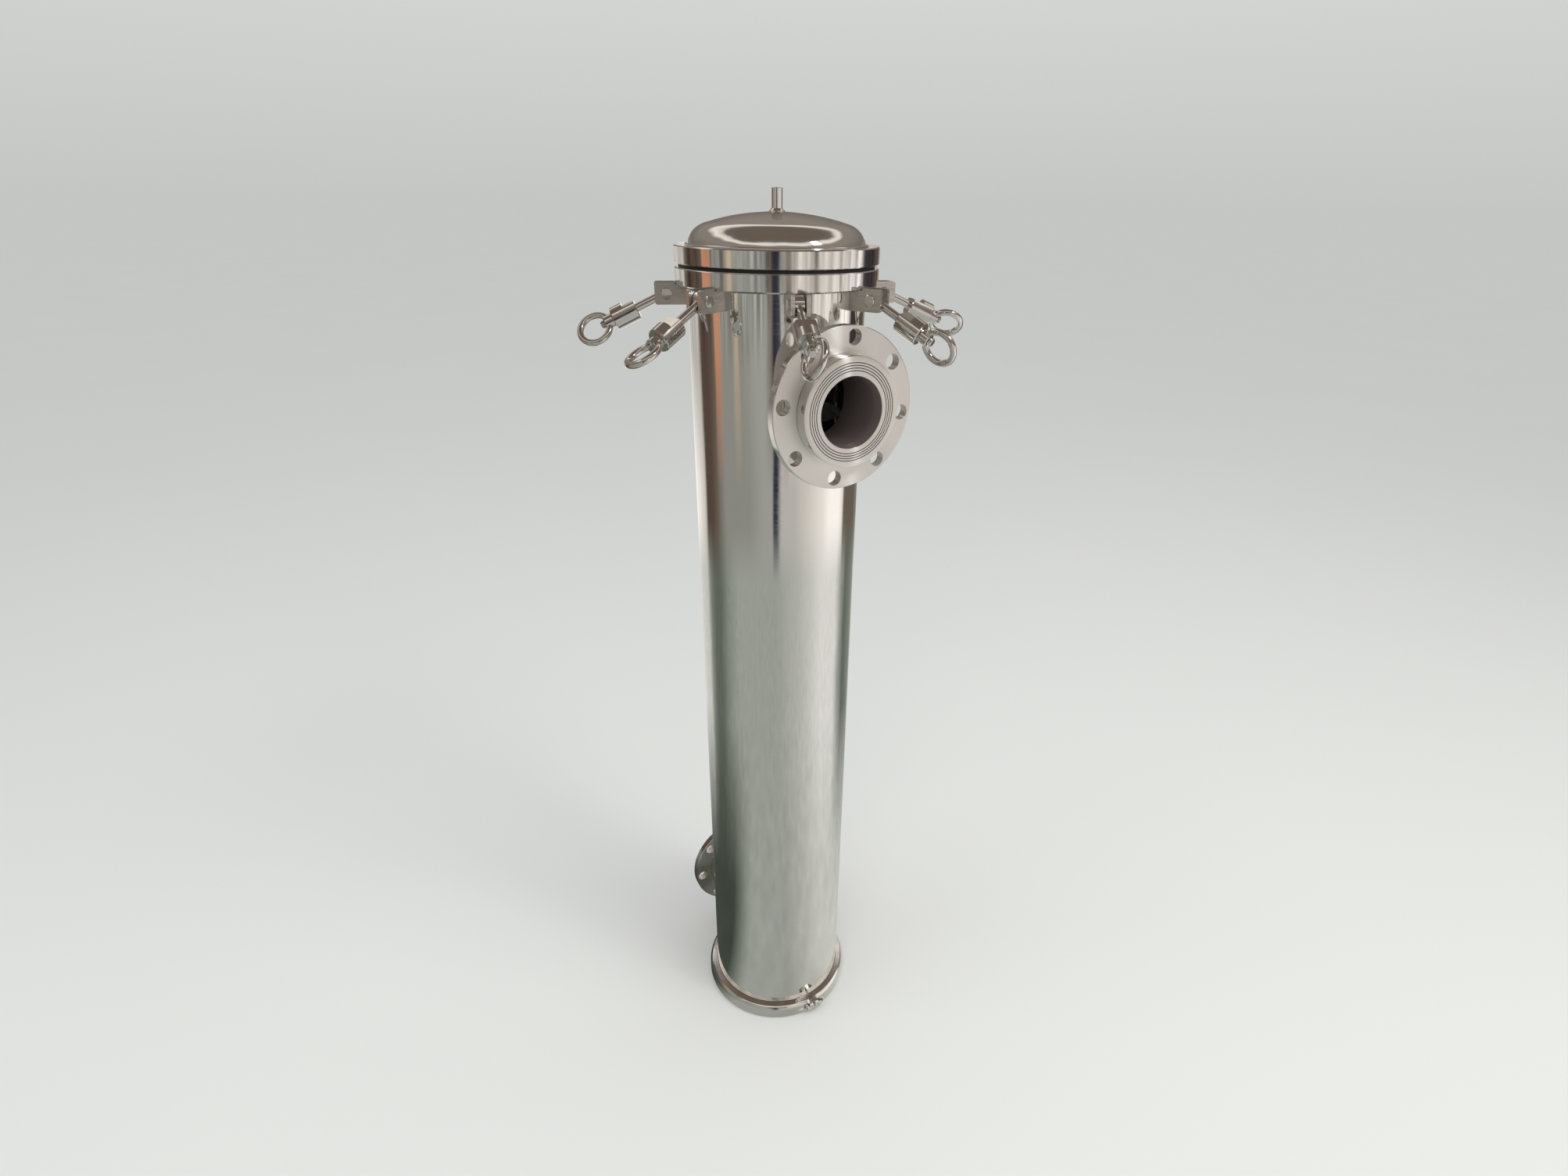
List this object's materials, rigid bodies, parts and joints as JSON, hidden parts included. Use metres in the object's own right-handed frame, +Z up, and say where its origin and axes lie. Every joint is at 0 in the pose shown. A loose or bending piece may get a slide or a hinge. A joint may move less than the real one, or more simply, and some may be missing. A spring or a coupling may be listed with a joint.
{
  "type": "bag filter housing",
  "caption": "Upright polished steel bag filter housing with a domed lid on swing bolts, flanged side inlet and outlet, clamped base cap, and a perforated basket and bag inside.",
  "frame": {"origin": "middle of the flat underside of the bottom cap", "axes": "+Z up along the body's axis to the vent stub, -Y along the inlet's axis outwards, +Y along the outlet's axis outwards"},
  "size_m": [0.4637, 0.467, 1.2945],
  "materials": {
    "mirror_steel": "mirror polished",
    "turned_steel": "turned and polished",
    "flange_steel": "lathe turned",
    "lug_steel": "sawn and ground",
    "hardware_steel": "polished",
    "clamp_steel": "cast and polished",
    "perforated_steel": "perforated sheet",
    "black_rubber": "moulded",
    "felt": "needle felt"
  },
  "bodies": {
    "housing": {"shell": "mirror_steel", "body_flange": "turned_steel", "lid_gasket": "black_rubber", "inlet_pipe": "mirror_steel", "inlet_collar": "flange_steel", "outlet_pipe": "mirror_steel", "outlet_collar": "flange_steel", "pivot_pins": "lug_steel", "bag_seat_ring": "turned_steel", "basket_seal": "black_rubber", "bottom_cap": "turned_steel", "bottom_gasket": "black_rubber", "bottom_ferrule": "turned_steel", "clamp_half_left": "clamp_steel", "clamp_hinge_pin": "hardware_steel", "clamp_bolt": "hardware_steel", "lug_1": "lug_steel", "lug_2": "lug_steel", "lug_3": "lug_steel", "lug_4": "lug_steel", "lug_5": "lug_steel", "lug_6": "lug_steel"},
    "lid": {"lid_flange": "turned_steel", "lid_dome": "mirror_steel", "vent_nipple": "mirror_steel"},
    "basket": {"restrainer_basket": "perforated_steel"},
    "bag": {"filter_bag": "felt", "bag_ring": "hardware_steel"},
    "retainer": {"bag_retainer": "hardware_steel"},
    "inlet_backing_flange": {"inlet_flange": "flange_steel"},
    "outlet_backing_flange": {"outlet_flange": "flange_steel"},
    "clamp_half": {"clamp_half_right": "clamp_steel"},
    "clamp_washer": {"clamp_washer": "hardware_steel"},
    "clamp_nut": {"clamp_nut": "hardware_steel"},
    "bolt_1": {"eye_bolt_1": "hardware_steel"},
    "claw_1": {"claw_1": "hardware_steel"},
    "nut_1": {"ring_nut_1": "hardware_steel"},
    "bolt_2": {"eye_bolt_2": "hardware_steel"},
    "claw_2": {"claw_2": "hardware_steel"},
    "nut_2": {"ring_nut_2": "hardware_steel"},
    "bolt_3": {"eye_bolt_3": "hardware_steel"},
    "claw_3": {"claw_3": "hardware_steel"},
    "nut_3": {"ring_nut_3": "hardware_steel"},
    "bolt_4": {"eye_bolt_4": "hardware_steel"},
    "claw_4": {"claw_4": "hardware_steel"},
    "nut_4": {"ring_nut_4": "hardware_steel"},
    "bolt_5": {"eye_bolt_5": "hardware_steel"},
    "claw_5": {"claw_5": "hardware_steel"},
    "nut_5": {"ring_nut_5": "hardware_steel"},
    "bolt_6": {"eye_bolt_6": "hardware_steel"},
    "claw_6": {"claw_6": "hardware_steel"},
    "nut_6": {"ring_nut_6": "hardware_steel"}
  },
  "joints": [
    {"name": "lid_lift", "type": "slide", "parent": "housing", "child": "lid", "axis": [0, 0, -1], "range_m": [-1.25, 0]},
    {"name": "basket_lift", "type": "slide", "parent": "housing", "child": "basket", "axis": [0, 0, -1], "range_m": [-1.02, 0]},
    {"name": "bag_lift", "type": "slide", "parent": "basket", "child": "bag", "axis": [0, 0, -1], "range_m": [-0.14, 0]},
    {"name": "retainer_lift", "type": "slide", "parent": "housing", "child": "retainer", "axis": [0, 0, -1], "range_m": [-1.2125, 0]},
    {"name": "inlet_flange_turn", "type": "hinge", "parent": "housing", "child": "inlet_backing_flange", "pos_m": [0, -0.1636, 1.06827], "axis": [0, -1, 0], "continuous": true},
    {"name": "outlet_flange_turn", "type": "hinge", "parent": "housing", "child": "outlet_backing_flange", "pos_m": [0, 0.1636, 0.124], "axis": [0, 1, 0], "continuous": true},
    {"name": "bolt_1_swing", "type": "hinge", "parent": "housing", "child": "bolt_1", "pos_m": [-0.12734, 0.04484, 1.1795], "axis": [0.3322, 0.9432, 0], "range_deg": [0, 115.2]},
    {"name": "claw_1_slide", "type": "slide", "parent": "bolt_1", "child": "claw_1", "axis": [0.8535, -0.3005, 0.4258], "range_m": [-0.006, 0.0015]},
    {"name": "nut_1_turn", "type": "hinge", "parent": "claw_1", "child": "nut_1", "pos_m": [-0.12734, 0.04484, 1.1795], "axis": [0.8535, -0.3005, 0.4258], "range_deg": [-1440.5, 360.5]},
    {"name": "bolt_2_swing", "type": "hinge", "parent": "housing", "child": "bolt_2", "pos_m": [-0.12352, -0.05448, 1.1795], "axis": [-0.4035, 0.915, 0], "range_deg": [0, 116.5]},
    {"name": "claw_2_slide", "type": "slide", "parent": "bolt_2", "child": "claw_2", "axis": [0.8188, 0.3611, 0.4462], "range_m": [-0.002, 0.0095]},
    {"name": "nut_2_turn", "type": "hinge", "parent": "claw_2", "child": "nut_2", "pos_m": [-0.12352, -0.05448, 1.1795], "axis": [0.8188, 0.3611, 0.4462], "range_deg": [-480.5, 2280.5]},
    {"name": "bolt_3_swing", "type": "hinge", "parent": "housing", "child": "bolt_3", "pos_m": [-0.04194, -0.12832, 1.1795], "axis": [-0.9505, 0.3107, 0], "range_deg": [0, 116.4]},
    {"name": "claw_3_slide", "type": "slide", "parent": "bolt_3", "child": "claw_3", "axis": [0.2783, 0.8514, 0.4446], "range_m": [-0.006, 0.0015]},
    {"name": "nut_3_turn", "type": "hinge", "parent": "claw_3", "child": "nut_3", "pos_m": [-0.04194, -0.12832, 1.1795], "axis": [0.2783, 0.8514, 0.4446], "range_deg": [-1440.5, 360.5]},
    {"name": "bolt_4_swing", "type": "hinge", "parent": "housing", "child": "bolt_4", "pos_m": [0.06338, -0.1192, 1.1795], "axis": [-0.8829, -0.4695, 0], "range_deg": [0, 117.8]},
    {"name": "claw_4_slide", "type": "slide", "parent": "bolt_4", "child": "claw_4", "axis": [-0.4153, 0.781, 0.4664], "range_m": [-0.006, 0.0015]},
    {"name": "nut_4_turn", "type": "hinge", "parent": "claw_4", "child": "nut_4", "pos_m": [0.06338, -0.1192, 1.1795], "axis": [-0.4153, 0.781, 0.4664], "range_deg": [-1440.5, 360.5]},
    {"name": "bolt_5_swing", "type": "hinge", "parent": "housing", "child": "bolt_5", "pos_m": [0.12839, -0.04172, 1.1795], "axis": [-0.309, -0.9511, 0], "range_deg": [0, 113.8]},
    {"name": "claw_5_slide", "type": "slide", "parent": "bolt_5", "child": "claw_5", "axis": [-0.8702, 0.2827, 0.4035], "range_m": [-0.006, 0.0015]},
    {"name": "nut_5_turn", "type": "hinge", "parent": "claw_5", "child": "nut_5", "pos_m": [0.12839, -0.04172, 1.1795], "axis": [-0.8702, 0.2827, 0.4035], "range_deg": [-1440.5, 360.5]},
    {"name": "bolt_6_swing", "type": "hinge", "parent": "housing", "child": "bolt_6", "pos_m": [0.04306, 0.12795, 1.1795], "axis": [0.9478, -0.319, 0], "range_deg": [0, 116]},
    {"name": "claw_6_slide", "type": "slide", "parent": "bolt_6", "child": "claw_6", "axis": [-0.2867, -0.8518, 0.4384], "range_m": [-0.006, 0.0015]},
    {"name": "nut_6_turn", "type": "hinge", "parent": "claw_6", "child": "nut_6", "pos_m": [0.04306, 0.12795, 1.1795], "axis": [-0.2867, -0.8518, 0.4384], "range_deg": [-1440.5, 360.5]},
    {"name": "clamp_washer_slide", "type": "slide", "parent": "housing", "child": "clamp_washer", "axis": [-0.9991, -0.0419, 0], "range_m": [-0.003, 0]},
    {"name": "clamp_nut_turn", "type": "hinge", "parent": "clamp_washer", "child": "clamp_nut", "pos_m": [0.00528, -0.12589, 0.0138], "axis": [-0.9991, -0.0419, 0], "range_deg": [-1080.5, 0.5]},
    {"name": "clamp_half_swing", "type": "hinge", "parent": "housing", "child": "clamp_half", "pos_m": [-0.00544, 0.12989, 0.01235], "axis": [0, 0, -1], "range_deg": [-0.6561, 0]}
  ],
  "couplings": [
    {"joint": "basket_lift", "follows": "lid_lift", "ratio": 0.816},
    {"joint": "bag_lift", "follows": "lid_lift", "ratio": 0.112},
    {"joint": "retainer_lift", "follows": "lid_lift", "ratio": 0.97},
    {"joint": "nut_1_turn", "follows": "claw_1_slide", "rad_per_m": 4188.8},
    {"joint": "nut_2_turn", "follows": "claw_2_slide", "rad_per_m": 4188.8},
    {"joint": "nut_3_turn", "follows": "claw_3_slide", "rad_per_m": 4188.8},
    {"joint": "nut_4_turn", "follows": "claw_4_slide", "rad_per_m": 4188.8},
    {"joint": "nut_5_turn", "follows": "claw_5_slide", "rad_per_m": 4188.8},
    {"joint": "nut_6_turn", "follows": "claw_6_slide", "rad_per_m": 4188.8},
    {"joint": "clamp_washer_slide", "follows": "clamp_half_swing", "m_per_rad": 0.262},
    {"joint": "clamp_nut_turn", "follows": "clamp_half_swing", "ratio": 1646.2}
  ]
}
